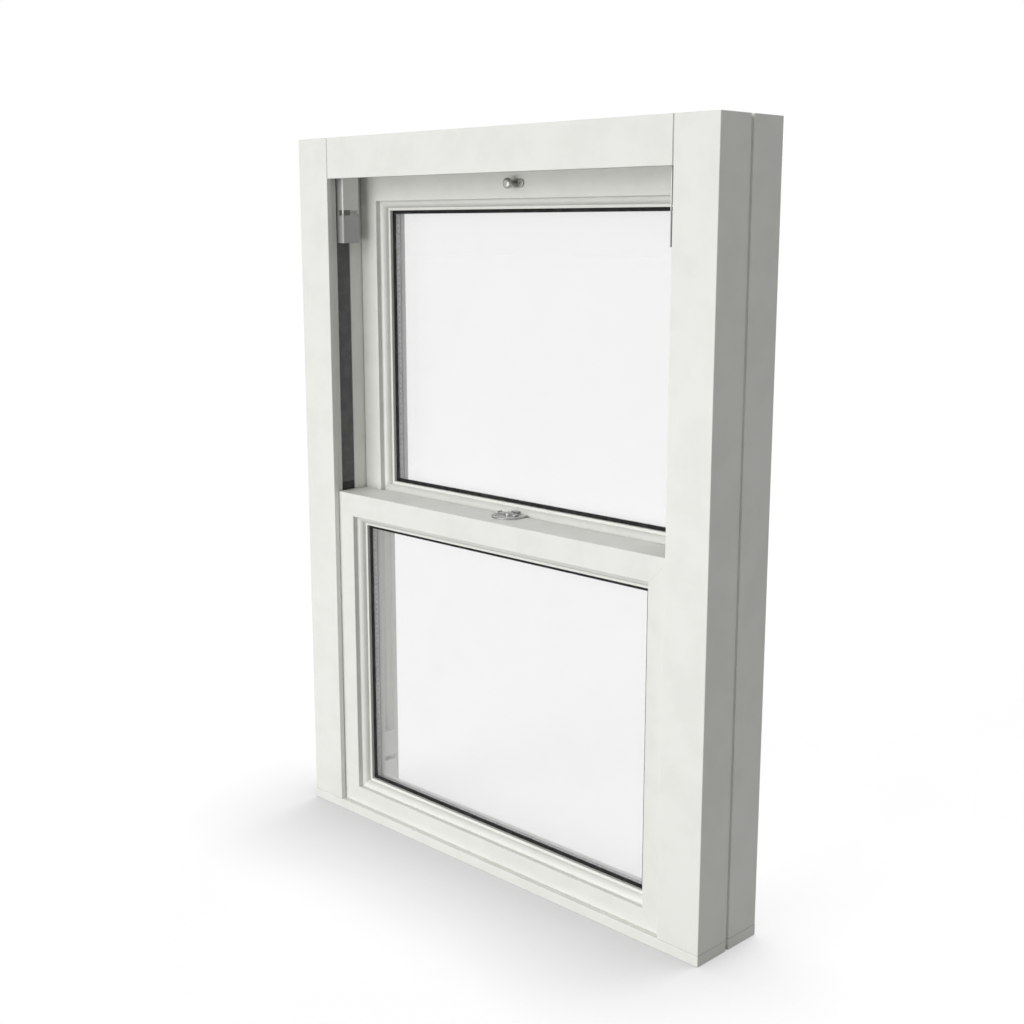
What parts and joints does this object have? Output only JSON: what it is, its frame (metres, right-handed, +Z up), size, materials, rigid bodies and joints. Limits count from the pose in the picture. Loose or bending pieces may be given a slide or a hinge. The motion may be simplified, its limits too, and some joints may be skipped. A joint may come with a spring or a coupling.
{
  "type": "vertical sliding sash window",
  "caption": "Vertical sliding sash window: a deep white frame with an inner and an outer track, double-glazed sashes on balances, travel stops, a meeting-rail catch and a pull knob.",
  "frame": {"origin": "under the sill, at the middle of the frame's width and depth", "axes": "+X to the right as seen from the room, +Y towards the outside, +Z up"},
  "size_m": [0.9, 0.141, 1.2],
  "materials": {
    "frame_white": "satin white, faintly mottled",
    "sash_white": "satin white, faintly mottled",
    "stop_metal": "satin aluminium, with a duller foot",
    "gasket_black": "matt black",
    "gasket_grey": "matt grey",
    "glass": "clear float glass",
    "spacer_grey": "dull grey",
    "case_grey": "dark grey",
    "bush_black": "black",
    "strip_steel": "plain steel",
    "foot_grey": "grey",
    "hardware": "satin chrome"
  },
  "bodies": {
    "frame": {"jamb_left": "frame_white", "jamb_right": "frame_white", "head": "frame_white", "sill": "frame_white", "top_stop_left": "stop_metal", "top_stop_right": "stop_metal", "bottom_stop_left": "stop_metal", "bottom_stop_right": "stop_metal", "lower_balance_case_left": "case_grey", "lower_balance_case_right": "case_grey", "upper_balance_case_left": "case_grey", "upper_balance_case_right": "case_grey", "lower_balance_bush_left": "bush_black", "lower_balance_bush_right": "bush_black", "upper_balance_bush_left": "bush_black", "upper_balance_bush_right": "bush_black"},
    "lower_sash": {"lower_stile_left": "sash_white", "lower_stile_right": "sash_white", "lower_bottom_rail": "sash_white", "lower_meeting_rail": "sash_white", "lower_bead_left": "sash_white", "lower_bead_right": "sash_white", "lower_bead_bottom": "sash_white", "lower_bead_top": "sash_white", "lower_inner_gasket": "gasket_black", "lower_outer_gasket": "gasket_grey", "lower_inner_pane": "glass", "lower_outer_pane": "glass", "lower_spacer": "spacer_grey", "lower_balance_strip_left": "strip_steel", "lower_balance_strip_right": "strip_steel", "lower_balance_foot_left": "foot_grey", "lower_balance_foot_right": "foot_grey", "meeting_interlock": "sash_white", "catch_plate": "hardware", "catch_screws": "hardware"},
    "upper_sash": {"upper_stile_left": "sash_white", "upper_stile_right": "sash_white", "upper_meeting_rail": "sash_white", "upper_top_rail": "sash_white", "upper_bead_left": "sash_white", "upper_bead_right": "sash_white", "upper_bead_bottom": "sash_white", "upper_bead_top": "sash_white", "upper_inner_gasket": "gasket_black", "upper_outer_gasket": "gasket_grey", "upper_inner_pane": "glass", "upper_outer_pane": "glass", "upper_spacer": "spacer_grey", "upper_balance_strip_left": "strip_steel", "upper_balance_strip_right": "strip_steel", "upper_balance_foot_left": "foot_grey", "upper_balance_foot_right": "foot_grey", "catch_keeper": "hardware", "pull_plate": "hardware", "pull_screws": "hardware", "pull_knob": "hardware"},
    "catch_lever": {"catch_lever": "hardware"}
  },
  "joints": [
    {"name": "lower_sash_slide", "type": "slide", "parent": "frame", "child": "lower_sash", "axis": [0, 0, 1], "range_m": [0, 0.4318]},
    {"name": "upper_sash_slide", "type": "slide", "parent": "frame", "child": "upper_sash", "axis": [0, 0, -1], "range_m": [0, 0.4252]},
    {"name": "catch_turn", "type": "hinge", "parent": "lower_sash", "child": "catch_lever", "pos_m": [0, -0.0065, 0.598], "axis": [0, 0, 1], "range_deg": [0, 90]}
  ]
}
